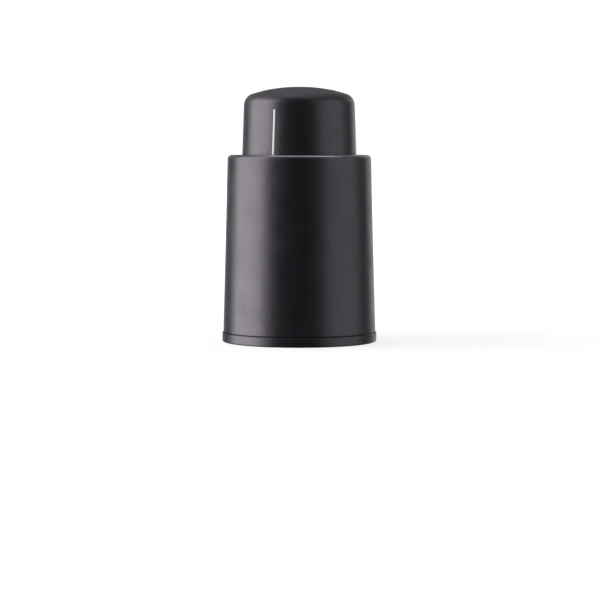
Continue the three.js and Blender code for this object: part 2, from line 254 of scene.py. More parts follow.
def mark_bends(piece):
    """Stores at each vertex how tightly the surface turns outwards: 1 over the radius, per
    millimetre."""
    shell = bmesh.new()
    shell.from_mesh(piece.data)
    bend = shell.verts.layers.float.new("bend")
    for edge in shell.edges:
        if len(edge.link_faces) != 2:
            continue
        first, second = (face.calc_center_median() for face in edge.link_faces)
        along = (edge.verts[1].co - edge.verts[0].co).normalized()
        across = second - first
        across -= across.dot(along) * along
        tightness = edge.calc_face_angle_signed() * MM / max(across.length, SHORTEST)
        for vertex in edge.verts:
            vertex[bend] = max(vertex[bend], tightness)
    shell.to_mesh(piece.data)
    shell.free()


def place(piece, node, body, material):
    """Finishes a piece that stands for one CAD node."""
    piece.name = node + "_look"
    piece.data.name = piece.name
    piece.data.materials.clear()
    piece.data.materials.append(material)
    shade(piece)
    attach(piece, body)
    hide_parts(node)


def place_black(piece, node, body):
    """Finishes an outer piece, whose edges are worn."""
    mark_bends(piece)
    place(piece, node, body, BLACK)


# --- materials -------------------------------------------------------------------------------------

MIX_COLOR_A, MIX_COLOR_B, MIX_COLOR_OUT = 6, 7, 2  # the colour sockets of a Mix node
WEAR_FROM, WEAR_FULL = 0.5, 2.4  # bends where the wear of an edge starts and is full


class Surface:
    """A Principled material with helpers for the few textures used here."""

    def __init__(self, name, color, roughness, metallic=0.0):
        self.material = bpy.data.materials.new(name)
        self.material.use_nodes = True
        self.tree = self.material.node_tree
        self.shader = self.tree.nodes["Principled BSDF"]
        self.shader.inputs["Base Color"].default_value = (*color, 1)
        self.shader.inputs["Roughness"].default_value = roughness
        self.shader.inputs["Metallic"].default_value = metallic
        self.place = self.tree.nodes.new("ShaderNodeTexCoord").outputs["Object"]

    def node(self, kind, **settings):
        made = self.tree.nodes.new(kind)
        for key, value in settings.items():
            setattr(made, key, value)
        return made

    def link(self, output, target):
        self.tree.links.new(output, target)

    def noise(self, size_mm, detail=3.0, roughness=0.5, stretch=None):
        """Cloudy pattern with features about this many millimetres across."""
        texture = self.node("ShaderNodeTexNoise")
        texture.inputs["Scale"].default_value = 1 / (size_mm * MM)
        texture.inputs["Detail"].default_value = detail
        texture.inputs["Roughness"].default_value = roughness
        source = self.place
        if stretch:
            mapping = self.node("ShaderNodeMapping")
            mapping.inputs["Scale"].default_value = stretch
            self.link(source, mapping.inputs["Vector"])
            source = mapping.outputs["Vector"]
        self.link(source, texture.inputs["Vector"])
        return texture.outputs["Fac"]

    def ranged(self, value, low, high, start=0.35, end=0.65):
        """The stretch from start to end of a value, mapped to the stretch from low to high."""
        mapped = self.node("ShaderNodeMapRange")
        mapped.inputs["From Min"].default_value = start
        mapped.inputs["From Max"].default_value = end
        mapped.inputs["To Min"].default_value = low
        mapped.inputs["To Max"].default_value = high
        self.link(value, mapped.inputs["Value"])
        return mapped.outputs["Result"]

    def mixed(self, factor, first, second):
        """Colour between two colours or outputs, by a factor output."""
        mix = self.node("ShaderNodeMix", data_type="RGBA")
        self.link(factor, mix.inputs["Factor"])
        for value, socket in ((first, MIX_COLOR_A), (second, MIX_COLOR_B)):
            if isinstance(value, tuple):
                mix.inputs[socket].default_value = (*value, 1)
            else:
                self.link(value, mix.inputs[socket])
        return mix.outputs[MIX_COLOR_OUT]

    def joined(self, operation, first, *others):
        """ADD or MULTIPLY of two or more outputs."""
        for other in others:
            step = self.node("ShaderNodeMath", operation=operation)
            self.link(first, step.inputs[0])
            self.link(other, step.inputs[1])
            first = step.outputs[0]
        return first

    def bump(self, heights):
        """Stacks bumps, each a (height output, depth in millimetres) pair."""
        normal = None
        for height, depth in heights:
            bump = self.node("ShaderNodeBump")
            bump.inputs["Distance"].default_value = depth * MM
            bump.inputs["Strength"].default_value = 1.0
            self.link(height, bump.inputs["Height"])
            if normal is not None:
                self.link(normal, bump.inputs["Normal"])
            normal = bump.outputs["Normal"]
        self.link(normal, self.shader.inputs["Normal"])

    def height(self):
        """Height above the foot of the stopper, in metres."""
        parts = self.node("ShaderNodeSeparateXYZ")
        self.link(self.place, parts.inputs[0])
        return parts.outputs["Z"]

    def edges(self, low, high):
        """0 where the bend stored on the mesh is low or less, and 1 where it is high or more."""
        bend = self.node("ShaderNodeAttribute", attribute_name="bend").outputs["Fac"]
        return self.ranged(bend, 0.0, 1.0, low, high)


def tint(color, share):
    """A darker or lighter copy of a colour."""
    return tuple(c * share for c in color)


def soft_touch_black():
    """Matte black moulding: fine spark-eroded grain, a faint unevenness under it, handling marks,
    convex edges that are rubbed lighter and smoother, and a coarser matte on the face that the
    palm presses."""
    color = (0.0105, 0.0098, 0.0118)
    surface = Surface("soft_touch_black", color, 0.4)
    surface.shader.inputs["IOR"].default_value = 1.5
    surface.shader.inputs["Specular IOR Level"].default_value = 1.0
    surface.shader.inputs["Specular Tint"].default_value = (1.0, 0.93, 1.03, 1)
    grain = surface.noise(0.36, 2.0, 0.6)
    speckle = surface.ranged(grain, 0.0, 1.0)
    base = surface.mixed(speckle, tint(color, 0.7), tint(color, 1.4))
    patches = surface.ranged(surface.noise(2.5, 3.0, 0.6), 0.25, 1.0)
    worn = surface.joined("MULTIPLY", surface.edges(WEAR_FROM, WEAR_FULL), patches)
    surface.link(
        surface.mixed(worn, base, tint(color, 2.2)), surface.shader.inputs["Base Color"]
    )
    handled = surface.ranged(surface.noise(7.0, 5.0, 0.62), -0.03, 0.04, 0.4, 0.62)
    grainy = surface.ranged(grain, 0.36, 0.43)
    rubbed = surface.ranged(worn, 0.0, -0.08, 0.0, 1.0)
    press_face = surface.ranged(surface.height(), 0.0, 0.24, PRESS_FACE_START, PRESS_FACE_FULL)
    roughness = surface.joined("ADD", grainy, handled, rubbed, press_face)
    surface.link(roughness, surface.shader.inputs["Roughness"])
    scratch = surface.noise(0.5, 1.0, 0.4, (6.0, 6.0, 0.35))
    surface.bump(
        [
            (surface.noise(6.0, 1.0), 0.004),
            (grain, 0.010),
            (surface.noise(0.14, 2.0), 0.004),
            (scratch, 0.0008),
        ]
    )
    return surface.material


def moulded(name, color, roughness, grain_mm=0.25, depth_mm=0.002, sheen=0.0):
    """Plain satin moulding with flow clouds and a light grain."""
    surface = Surface(name, color, roughness)
    surface.shader.inputs["Sheen Weight"].default_value = sheen
    flow = surface.ranged(surface.noise(5.0, 4.0, 0.6, (1, 1, 0.4)), 0.0, 1.0)
    surface.link(
        surface.mixed(flow, tint(color, 0.9), tint(color, 1.08)),
        surface.shader.inputs["Base Color"],
    )
    grain = surface.noise(grain_mm, 2.0)
    surface.link(
        surface.ranged(grain, roughness - 0.05, roughness + 0.05),
        surface.shader.inputs["Roughness"],
    )
    surface.bump([(grain, depth_mm)])
    return surface.material


def silicone(name, color, roughness, scatter_mm, weight):
    """Soft translucent rubber with fine lint and a slightly uneven skin."""
    surface = Surface(name, color, roughness)
    surface.shader.inputs["Subsurface Weight"].default_value = weight
    surface.shader.inputs["Subsurface Radius"].default_value = (1.0, 0.9, 0.75)
    surface.shader.inputs["Subsurface Scale"].default_value = scatter_mm * MM
    surface.shader.inputs["IOR"].default_value = 1.42
    cloud = surface.ranged(surface.noise(3.0, 3.0), 0.0, 1.0)
    lint = surface.ranged(surface.noise(0.22, 1.0, 0.8), 0.0, 1.0, 0.68, 0.74)
    base = surface.mixed(cloud, tint(color, 0.92), tint(color, 1.06))
    dusty = tuple(min(1.0, c + 0.06) for c in color)
    surface.link(surface.mixed(lint, base, dusty), surface.shader.inputs["Base Color"])
    surface.link(
        surface.ranged(surface.noise(1.6, 3.0), roughness - 0.08, roughness + 0.08),
        surface.shader.inputs["Roughness"],
    )
    surface.bump([(surface.noise(0.5, 3.0), 0.006)])
    return surface.material


def steel(name, color, roughness, stretch, pitch_mm):
    """Metal with fine lines along one direction and a little tarnish."""
    surface = Surface(name, color, roughness, 1.0)
    lines = surface.noise(pitch_mm, 2.0, 0.6, stretch)
    stain = surface.ranged(surface.noise(2.2, 4.0, 0.6), 0.0, 1.0)
    surface.link(
        surface.mixed(stain, tint(color, 0.85), tint(color, 1.08)),
        surface.shader.inputs["Base Color"],
    )
    surface.link(
        surface.ranged(lines, roughness - 0.06, roughness + 0.12),
        surface.shader.inputs["Roughness"],
    )
    surface.bump([(lines, 0.002)])
    return surface.material


def index_paint():
    """Pad-printed white line: slightly ragged cover over the grain below."""
    color = (0.9, 0.89, 0.88)
    surface = Surface("index_paint", color, 0.5)
    thin = surface.ranged(surface.noise(0.25, 3.0, 0.7), 0.0, 1.0, 0.3, 0.5)
    surface.link(
        surface.mixed(thin, tint(color, 0.82), color), surface.shader.inputs["Base Color"]
    )
    surface.bump([(surface.noise(0.16, 2.0), 0.003)])
    return surface.material


BLACK = soft_touch_black()
LINER = moulded("liner_grey", (0.07, 0.07, 0.075), 0.5, 0.3, 0.003)
ACETAL = moulded("acetal_white", (0.74, 0.73, 0.68), 0.36, 0.4, 0.0012)
PUMP = moulded("pump_grey", (0.26, 0.28, 0.3), 0.4, 0.3, 0.0015)
RUBBER = moulded("rubber_black", (0.012, 0.012, 0.012), 0.55, 0.2, 0.002, 0.1)
SILICONE_DARK = silicone("silicone_dark", (0.03, 0.03, 0.034), 0.5, 0.4, 0.15)
SILICONE_CLEAR = silicone("silicone_clear", (0.64, 0.62, 0.56), 0.42, 1.2, 0.6)
SPRING_STEEL = steel("spring_steel", (0.52, 0.52, 0.53), 0.24, (1, 1, 14), 0.5)
SCREW_STEEL = steel("screw_steel", (0.5, 0.5, 0.5), 0.32, (1, 1, 8), 0.2)
PAINT = index_paint()


# --- housing ---------------------------------------------------------------------------------------

SLEEVE_TOP_RADIUS = 20.36
MOUTH_RADIUS = 16.6
MOUTH_DEPTH = 1.3
RING_HEIGHT = 2.65
SLEEVE_BORE = 18.45
FLANGE_BORE = 18.9
RING_BORE = 19.7
RING_BORE_TOP = 9.0
SNAP_BOTTOM, SNAP_TOP, SNAP_DEPTH = 5.1, 7.0, 0.4  # groove in the sleeve that holds the base ring
COLLAR_BORE, COLLAR_RADIUS, COLLAR_TOP = 18.3, 19.4, 6.8  # part of the ring that is in the sleeve
BEAD_RADIUS, BEAD_LEVEL = 19.75, 6.0
SEAM_SHIFT = 0.08  # the seam over the base ring is finer than the gap in the CAD
SEAM_STEP = 0.16  # rise of the ring behind the seam
NECK_RADIUS = 16.0
NECK_OPENING = 16.2
SCREW_COUNT = 3
FIRST_SCREW = math.pi / 2
_, FLANGE_BOTTOM, BARREL_TOP = span("pump_cylinder")
FLANGE_TOP = FLANGE_BOTTOM + 1.8
LEDGE = FLANGE_TOP + 0.3
BOSS_TOP = LEDGE + 5.1
BOSS_RADIUS = 2.0
SCREW_CIRCLE = (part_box("flange_screw_1")[0].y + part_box("flange_screw_1")[1].y) / 2 / MM


def outer_sleeve():
    radius, bottom, top = span("outer_sleeve")
    foot = bottom - SEAM_SHIFT
    ceiling = top - MOUTH_DEPTH
    groove_radius = RING_BORE + SNAP_DEPTH
    outline = [
        (radius, foot, 0.15),
        (SLEEVE_TOP_RADIUS, top, 1.1),
        (MOUTH_RADIUS, top, 0.4),
        (MOUTH_RADIUS, ceiling, 0.2),
        (SLEEVE_BORE, ceiling, 0.4),
        (SLEEVE_BORE, LEDGE, 0.1),
        (FLANGE_BORE, LEDGE, 0.1),
        (FLANGE_BORE, RING_BORE_TOP, 0.3),
        (RING_BORE, RING_BORE_TOP, 0.2),
        (RING_BORE, SNAP_TOP, 0.05),
        (groove_radius, SNAP_TOP - 0.3, 0.15),
        (groove_radius, SNAP_BOTTOM + 0.3, 0.15),
        (RING_BORE, SNAP_BOTTOM, 0.05),
        (RING_BORE, foot, 0.25),
    ]
    bosses = around(
        SCREW_COUNT, FIRST_SCREW, lambda a: bar(BOSS_RADIUS, LEDGE, BOSS_TOP, SCREW_CIRCLE, a)
    )
    pilots = around(
        SCREW_COUNT, FIRST_SCREW, lambda a: bar(1.0, LEDGE - 1, BOSS_TOP - 0.6, SCREW_CIRCLE, a)
    )
    sleeve = combined(turned("sleeve", outline, FINE), bosses, pilots)
    place_black(sleeve, "outer_sleeve", "housing")


def base_ring():
    radius, bottom, _ = span("base_ring")
    shelf = bottom + RING_HEIGHT
    outline = [
        (NECK_OPENING, bottom, 0.5),
        (radius, bottom, 0.4),
        (radius, shelf, 0.15),
        (radius - 0.65, shelf, 0.05),
        (radius - 0.7, shelf + SEAM_STEP, 0.05),
        (COLLAR_RADIUS, shelf + SEAM_STEP, 0.1),
        (COLLAR_RADIUS, BEAD_LEVEL - 0.5, 0.1),
        (BEAD_RADIUS, BEAD_LEVEL - 0.2, 0.1),
        (BEAD_RADIUS, BEAD_LEVEL + 0.2, 0.1),
        (COLLAR_RADIUS - 0.1, COLLAR_TOP, 0.15),
        (COLLAR_BORE, COLLAR_TOP, 0.2),
        (COLLAR_BORE, shelf, 0.1),
        (NECK_OPENING, shelf, 0.2),
    ]
    near, far, width, depth = NECK_OPENING - 1, COLLAR_BORE - 0.15, 3.0, 0.9
    grooves = around(
        4, math.pi / 4, lambda a: block(near, far, width, shelf - depth, shelf + 1, a)
    )
    ring = combined(turned("ring", outline, FINE), (), grooves)
    place_black(ring, "base_ring", "housing")


def guide_ring():
    radius, bottom, top = span("guide_ring")
    bore = MOUTH_RADIUS + 0.15
    outline = [
        (bore, bottom, 0.3),
        (radius, bottom, 0.2),
        (radius, top, 0.2),
        (bore, top, 0.2),
    ]
    ring = turned("guide", outline, FINE)
    place(ring, "guide_ring", "housing", ACETAL)


def neck_liner():
    radius, bottom, top = span("neck_liner")
    outline = [
        (NECK_RADIUS + 0.6, bottom, 0.25),
        (radius, bottom, 0.15),
        (radius, top, 0.2),
        (NECK_RADIUS, top, 0.2),
        (NECK_RADIUS, bottom + 0.9, 0.3),
    ]
    liner = turned("liner", outline, FINE)
    place(liner, "neck_liner", "housing", LINER)


# --- bottle plug -----------------------------------------------------------------------------------

CORE_BORE = 4.2
CORE_RADIUS = 6.0
CORE_FOOT_RADIUS = 7.4
SEAL_GROOVE = (6.1, 7.9)  # inner and outer radius of the groove of the O-ring
PLUG_BORE = 6.3
GASKET_HOLE = 10.1
RIB_LEVELS = (7.4, 10.8, 14.2)
RIB_GROWTH = 0.15  # each rib stands this much further out than the one below


def plug_core():
    radius, bottom, top = span("plug_core")
    head, foot_top = top - 2.0, bottom + 1.2
    groove_in, groove_out = SEAL_GROOVE
    outline = [
        (CORE_BORE, bottom, 0.35),
        (CORE_FOOT_RADIUS, bottom, 0.4),
        (CORE_FOOT_RADIUS, foot_top, 0.15),
        (CORE_RADIUS, foot_top, 0.2),
        (CORE_RADIUS, head, 0.3),
        (radius, head, 0.2),
        (radius, top, 0.15),
        (groove_out, top, 0.1),
        (groove_out, top - 1, 0.2),
        (groove_in, top - 1, 0.2),
        (groove_in, top, 0.1),
        (CORE_BORE, top, 0.2),
    ]
    core = turned("core", outline, MEDIUM)
    place(core, "plug_core", "housing", PUMP)


def plug_core_seal():
    radius, bottom, top = span("plug_core_seal")
    thickness = top - bottom
    half = thickness / 2
    outline = [
        (radius - thickness, bottom, half),
        (radius, bottom, half),
        (radius, top, half),
        (radius - thickness, top, half),
    ]
    seal = turned("seal", outline, MEDIUM)
    place(seal, "plug_core_seal", "housing", RUBBER)


def bottle_plug():
    _, bottom, top = span("bottle_plug")
    outline = [
        (PLUG_BORE, bottom, 0.3),
        (7.6, bottom, 0.4),
        (8.6, bottom + 0.9, 0.5),
    ]
    for i, level in enumerate(RIB_LEVELS):
        valley = 8.9 + RIB_GROWTH * i
        crest = valley + 0.7
        outline += [
            (valley, level - 1.0, 0.5),
            (crest, level - 0.25, 0.35),
            (crest, level + 0.25, 0.35),
            (valley + RIB_GROWTH, level + 1.0, 0.5),
        ]
    outline += [(9.3, top, 0.4), (PLUG_BORE, top, 0.2)]
    plug = turned("plug", outline, MEDIUM)
    place(plug, "bottle_plug", "housing", SILICONE_DARK)


def lip_gasket():
    radius, bottom, top = span("lip_gasket")
    outline = [
        (GASKET_HOLE, bottom, 0.2),
        (radius, bottom, 0.4),
        (radius, top, 0.2),
        (GASKET_HOLE, top, 0.2),
    ]
    gasket = turned("gasket", outline, FINE)
    place(gasket, "lip_gasket", "housing", SILICONE_CLEAR)


# --- pump ------------------------------------------------------------------------------------------

BORE_RADIUS = 9.6
BARREL_RADIUS = 10.9
VALVE_HOLE = 1.4
AIR_HOLE = 0.8
AIR_CIRCLE = 3.1
ROD_RADIUS = 4.2


def air_holes(bottom, top):
    """Cutters for the four air holes under an umbrella valve."""
    return around(4, math.pi / 4, lambda a: bar(AIR_HOLE, bottom, top, AIR_CIRCLE, a))


def pump_cylinder():
    radius = span("pump_cylinder")[0]
    outline = [
        (VALVE_HOLE, FLANGE_BOTTOM, 0.1),
        (radius, FLANGE_BOTTOM, 0.25),
        (radius, FLANGE_TOP, 0.25),
        (BARREL_RADIUS, FLANGE_TOP, 0.5),
        (BARREL_RADIUS, BARREL_TOP, 0.2),
        (BORE_RADIUS, BARREL_TOP, 0.4),
        (BORE_RADIUS, FLANGE_TOP, 0.3),
        (VALVE_HOLE, FLANGE_TOP, 0.1),
    ]
    low, high = FLANGE_BOTTOM - 1, FLANGE_TOP + 1
    hole, notch_near, notch_far, notch_width = 1.25, 17.3, radius + 1.4, 7
    screw_holes = around(SCREW_COUNT, FIRST_SCREW, lambda a: bar(hole, low, high, SCREW_CIRCLE, a))
    notches = around(
        SCREW_COUNT,
        -FIRST_SCREW,
        lambda a: block(notch_near, notch_far, notch_width, low, high, a),
    )
    cylinder = combined(
        turned("cylinder", outline, MEDIUM), (), screw_holes + notches + air_holes(low, high)
    )
    place(cylinder, "pump_cylinder", "housing", PUMP)


def cylinder_cap():
    radius, bottom, top = span("cylinder_cap")
    seat = bottom + 1.8
    bearing = ROD_RADIUS + 0.4
    spigot_in, spigot_out = 8.3, 9.2
    outline = [
        (bearing, seat, 0.15),
        (spigot_in, seat, 0.15),
        (spigot_in, bottom, 0.15),
        (spigot_out, bottom, 0.2),
        (spigot_out, seat, 0.1),
        (radius, seat, 0.15),
        (radius, top, 0.4),
        (bearing, top, 0.3),
    ]
    vent, vent_circle = 1.0, 6.7
    vents = around(4, 0.0, lambda a: bar(vent, seat - 1, top + 1, vent_circle, a))
    cap = combined(turned("lid", outline, MEDIUM), (), vents)
    place(cap, "cylinder_cap", "housing", PUMP)


def umbrella_valve(node, body):
    """Thin domed disc on a stem with a barb, its sealing lip 0.7 mm under its top."""
    _, bottom, top = span(node)
    seat = top - 0.7
    stem, barb, barb_top = 1.1, 1.65, bottom + 0.85
    outline = [
        (0, bottom),
        (0.7, bottom, 0.25),
        (barb, barb_top, 0.1),
        (stem, barb_top, 0.1),
        (stem, seat - 0.1, 0.15),
        (4.3, seat, 0.3),
        (4.5, seat + 0.2, 0.08),
        (3.2, seat + 0.55, 1.5),
        (0, top),
    ]
    valve = turned("valve", outline, MEDIUM)
    place(valve, node, body, SILICONE_CLEAR)


# --- plunger ---------------------------------------------------------------------------------------

CAP_RIM_RADIUS = 15.74
CAP_SKIRT_RADIUS = 16.51
CAP_EDGE_ROUND = 3.5
CAP_DOME_RADIUS = 48.0
CAP_FLAT_RADIUS = 3.0
CAP_THICKNESS = 2.4
CAP_BORE = 13.5
CAP_PILOT_RADIUS = 1.2
DOME_STEPS = 24
WALL_DROP = 4.8  # the wall has its rim radius this far below the top
LIP_HEIGHT = 2.0
ROD_BOTTOM = span("piston_stem")[1]
ROD_TOP = span("piston_stem")[2]
LIP_RADIUS, SKIRT_BOTTOM, CAP_TOP = span("plunger_cap")


def dome_level(radius):
    """Height of the domed top of the plunger at a distance from the axis."""
    dome, flat = CAP_DOME_RADIUS, CAP_FLAT_RADIUS
    crest = CAP_TOP + dome - math.sqrt(dome**2 - flat**2)
    return crest - dome + math.sqrt(dome**2 - radius**2)


def wall_radius(height):
    """Outer radius of the plunger's drafted wall at a height."""
    low, high = SKIRT_BOTTOM + LIP_HEIGHT, CAP_TOP - WALL_DROP
    share = (height - low) / (high - low)
    return CAP_SKIRT_RADIUS + (CAP_RIM_RADIUS - CAP_SKIRT_RADIUS) * share


def plunger_cap():
    under = CAP_TOP - CAP_THICKNESS
    post = ROD_TOP + 0.2
    lip_top = SKIRT_BOTTOM + LIP_HEIGHT
    edge = wall_radius(dome_level(CAP_RIM_RADIUS))
    dome_end = edge - 1.6 * CAP_EDGE_ROUND  # clear of the edge round
    dome = [
        CAP_FLAT_RADIUS + (dome_end - CAP_FLAT_RADIUS) * (1 - i / DOME_STEPS)
        for i in range(DOME_STEPS)
    ]
    outline = [
        (0, under - 0.8),
        (CAP_PILOT_RADIUS, under - 0.8, 0.05),
        (CAP_PILOT_RADIUS, post, 0.15),
        (ROD_RADIUS, post, 0.2),
        (ROD_RADIUS, under, 0.5),
        (CAP_BORE, under, 0.9),
        (CAP_BORE + 0.45, SKIRT_BOTTOM, 0.15),
        (LIP_RADIUS, SKIRT_BOTTOM, 0.3),
        (LIP_RADIUS, lip_top, 0.3),
        (CAP_SKIRT_RADIUS, lip_top, 0.2),
        (edge, dome_level(edge), CAP_EDGE_ROUND),
        *[(radius, dome_level(radius)) for radius in dome],
        (CAP_FLAT_RADIUS, CAP_TOP, 30.0),
        (0, CAP_TOP),
    ]
    cap = turned("cap", outline, FINE)
    place_black(cap, "plunger_cap", "plunger")


def index_line():
    """Thin printed line down the wall of the plunger, from below its shoulder into the sleeve."""
    width, proud, buried = 0.52, 0.02, 0.12
    top, bottom = CAP_TOP - 6.5, SKIRT_BOTTOM + LIP_HEIGHT + 1
    lean = math.radians(0.07)  # per millimetre of height
    start_angle = math.radians(-90 - 26.1)  # -90 is the front
    rows, across = 40, 4
    vertices, faces = [], []
    for i in range(rows + 1):
        height = top + (bottom - top) * i / rows
        middle = start_angle - lean * (top - height)
        taper = 0.75 if i == 0 else 1.0  # the upper end is drawn in a little
        for depth in (proud, -buried):
            radius = wall_radius(height) + depth
            for k in range(across + 1):
                offset = (k / across - 0.5) * width * taper / radius
                angle = middle + offset
                vertices.append(
                    (
                        radius * math.cos(angle) * MM,
                        radius * math.sin(angle) * MM,
                        height * MM,
                    )
                )
    row = 2 * (across + 1)
    loop = list(range(across + 1)) + list(range(row - 1, across, -1))
    for i in range(rows):
        for k, here in enumerate(loop):
            following = loop[(k + 1) % row]
            a, b = i * row, (i + 1) * row
            faces.append((a + here, a + following, b + following, b + here))
    faces.append(tuple(loop))
    faces.append(tuple(rows * row + k for k in reversed(loop)))
    line = new_piece("index_line", vertices, faces)
    line.data.materials.append(PAINT)
    shade(line)
    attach(line, "plunger")


def piston_stem():
    bell_bore, bell_radius, rod_bore, screw_hole = 5.9, 7.5, 2.6, 1.3
    bell_top = ROD_BOTTOM + 2.5
    bell_ceiling, rod_ceiling = bell_top - 0.9, ROD_TOP - 2
    outline = [
        (bell_bore, ROD_BOTTOM, 0.1),
        (bell_radius, ROD_BOTTOM, 0.2),
        (bell_radius, bell_top, 0.4),
        (ROD_RADIUS, bell_top, 0.5),
        (ROD_RADIUS, ROD_TOP, 0.3),
        (screw_hole, ROD_TOP, 0.1),
        (screw_hole, rod_ceiling, 0.05),
        (rod_bore, rod_ceiling, 0.2),
        (rod_bore, bell_ceiling, 0.2),
        (bell_bore, bell_ceiling, 0.3),
    ]
    slot_width, slot_top = 2.6, bell_top - 1.2
    slots = around(4, 0.0, lambda a: block(5, 9, slot_width, ROD_BOTTOM - 1, slot_top, a))
    stem = combined(turned("stem", outline, MEDIUM), (), slots)
    place(stem, "piston_stem", "plunger", ACETAL)


def piston_head():
    radius, bottom, top = span("piston_head")
    bore, foot_radius, groove_radius = 5.2, 8.1, 6.9
    web, groove_top, groove_bottom = top - 2.0, top - 1.2, bottom + 1.0
    outline = [
        (bore, bottom, 0.2),
        (foot_radius, bottom, 0.3),
        (foot_radius, groove_bottom, 0.15),
        (groove_radius, groove_bottom, 0.2),
        (groove_radius, groove_top, 0.2),
        (radius, groove_top, 0.15),
        (radius, top, 0.25),
        (VALVE_HOLE, top, 0.1),
        (VALVE_HOLE, web, 0.1),
        (bore, web, 0.4),
    ]
    head = combined(turned("head", outline, MEDIUM), (), air_holes(bottom, top + 1))
    place(head, "piston_head", "plunger", ACETAL)


def piston_seal():
    radius, bottom, top = span("piston_seal")
    outline = [
        (7.15, bottom + 0.05, 0.1),
        (7.6, bottom + 0.05, 0.15),
        (8.0, bottom + 0.85, 0.25),
        (8.65, bottom + 0.85, 0.25),
        (9.05, bottom, 0.08),
        (radius, bottom, 0.12),
        (9.2, bottom + 1.05, 0.4),
        (9.05, top, 0.25),
        (7.15, top, 0.15),
    ]
    seal = turned("cup", outline, MEDIUM)
    place(seal, "piston_seal", "plunger", RUBBER)


# --- hardware --------------------------------------------------------------------------------------

THREAD_ROWS = 10  # rows of vertices for each turn of a thread
RIDGE_WIDTH = 0.625  # of a thread at its foot, as a share of its pitch
TIP_SHARE = 0.35  # of the radius, left at the tip


def threaded(core, crest, bottom, top, pitch):
    """Screw shank: a rod whose surface carries a rising ridge, tapering at its end."""
    rows = math.ceil((top - bottom) / pitch * THREAD_ROWS)
    vertices, faces = [], []
    for i in range(rows + 1):
        height = bottom + (top - bottom) * i / rows
        taper = min(1.0, (top - height) / (2 * crest) + TIP_SHARE)
        runout = min(1.0, (height - bottom) / pitch)
        for k in range(SMALL):
            angle = 2 * math.pi * k / SMALL
            phase = ((height - bottom) / pitch - k / SMALL) % 1
            ridge = max(0.0, 1 - abs(phase - 0.5) * 2 / RIDGE_WIDTH)
            radius = (core + (crest - core) * ridge * runout) * taper
            vertices.append(
                (radius * math.cos(angle) * MM, radius * math.sin(angle) * MM, height * MM)
            )
    for i in range(rows):
        for k in range(SMALL):
            following = (k + 1) % SMALL
            a, b = i * SMALL, (i + 1) * SMALL
            faces.append((a + k, a + following, b + following, b + k))
    for ring, height in ((0, bottom), (rows, top)):
        pole = len(vertices)
        vertices.append((0, 0, height * MM))
        for k in range(SMALL):
            faces.append((pole, ring * SMALL + k, ring * SMALL + (k + 1) % SMALL))
    return new_piece("shank", vertices, faces)


def screw(head_radius, head_height, core, crest, length, pitch):
    """Pan-head screw with a cross recess, head down, the underside of the head at height 0."""
    outline = [
        (0, -head_height),
        (head_radius * 0.72, -head_height, head_height * 0.5),
        (head_radius, -head_height * 0.35, head_height * 0.3),
        (head_radius, 0, 0.08),
        (core, 0, 0.08),
        (core, 0.6, 0.05),
        (0, 0.6),
    ]
    reach, width = head_radius * 0.62, head_radius * 0.3
    recess = [
        block(-reach, reach, width, -head_height - 1, -head_height * 0.45, angle)
        for angle in (0, math.pi / 2)
    ]
    shank = threaded(core, crest, 0.3, length, pitch)
    return combined(turned("head", outline, SMALL * 2), [shank], recess)


def flange_screws():
    for number in range(1, SCREW_COUNT + 1):
        node = f"flange_screw_{number}"
        low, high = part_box(node)
        middle = (low + high) / 2
        head_height = 1.4
        length = (high.z - low.z) / MM - head_height
        made = screw(1.4, head_height, core=0.72, crest=0.95, length=length, pitch=0.6)
        recess_turn = number * 1.1
        made.data.transform(Matrix.Rotation(recess_turn, 4, "Z"))
        moved(made, (middle.x / MM, middle.y / MM, low.z / MM + head_height))
        place(made, node, "housing", SCREW_STEEL)


def stem_screw():
    _, bottom, top = span("stem_screw")
    head_height = 1.5
    length = top - bottom - head_height
    made = screw(2.2, head_height, core=0.85, crest=1.12, length=length, pitch=0.7)
    moved(made, (0, 0, bottom + head_height))
    place(made, "stem_screw", "plunger", SCREW_STEEL)


def return_spring():
    """Round wire wound round the barrel, its end turns closed."""
    outer, bottom, top = span("return_spring")
    wire, turns, closed_pitch = 0.75, 9, 1.62
    radius = outer - wire
    sides, per_turn = 16, 48
    open_rise = top - bottom - 2 * wire - 2 * closed_pitch
    vertices, faces = [], []
    steps = turns * per_turn
    for i in range(steps + 1):
        done = i / per_turn
        share = min(max((done - 1) / (turns - 2), 0), 1)
        closed = min(done, 1) + max(done - turns + 1, 0)
        height = bottom + wire + closed * closed_pitch + share * open_rise
        angle = 2 * math.pi * done
        for k in range(sides):
            turn = 2 * math.pi * k / sides
            reach = radius + wire * math.cos(turn)
            vertices.append(
                (
                    reach * math.cos(angle) * MM,
                    reach * math.sin(angle) * MM,
                    (height + wire * math.sin(turn)) * MM,
                )
            )
    for i in range(steps):
        for k in range(sides):
            following = (k + 1) % sides
            a, b = i * sides, (i + 1) * sides
            faces.append((a + k, a + following, b + following, b + k))
    faces.append(tuple(range(sides)))
    faces.append(tuple(steps * sides + k for k in reversed(range(sides))))
    spring = new_piece("spring", vertices, faces)
    place(spring, "return_spring", "housing", SPRING_STEEL)
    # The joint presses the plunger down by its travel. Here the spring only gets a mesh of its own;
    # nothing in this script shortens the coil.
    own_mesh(spring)


for make in (
    outer_sleeve,
    base_ring,
    guide_ring,
    neck_liner,
    plug_core,
    plug_core_seal,
    bottle_plug,
    lip_gasket,
    pump_cylinder,
    cylinder_cap,
    plunger_cap,
    index_line,
    piston_stem,
    piston_head,
    piston_seal,
    stem_screw,
    flange_screws,
    return_spring,
):
    make()
umbrella_valve("intake_valve", "intake_valve")
umbrella_valve("exhaust_valve", "exhaust_valve")


# --- studio ----------------------------------------------------------------------------------------

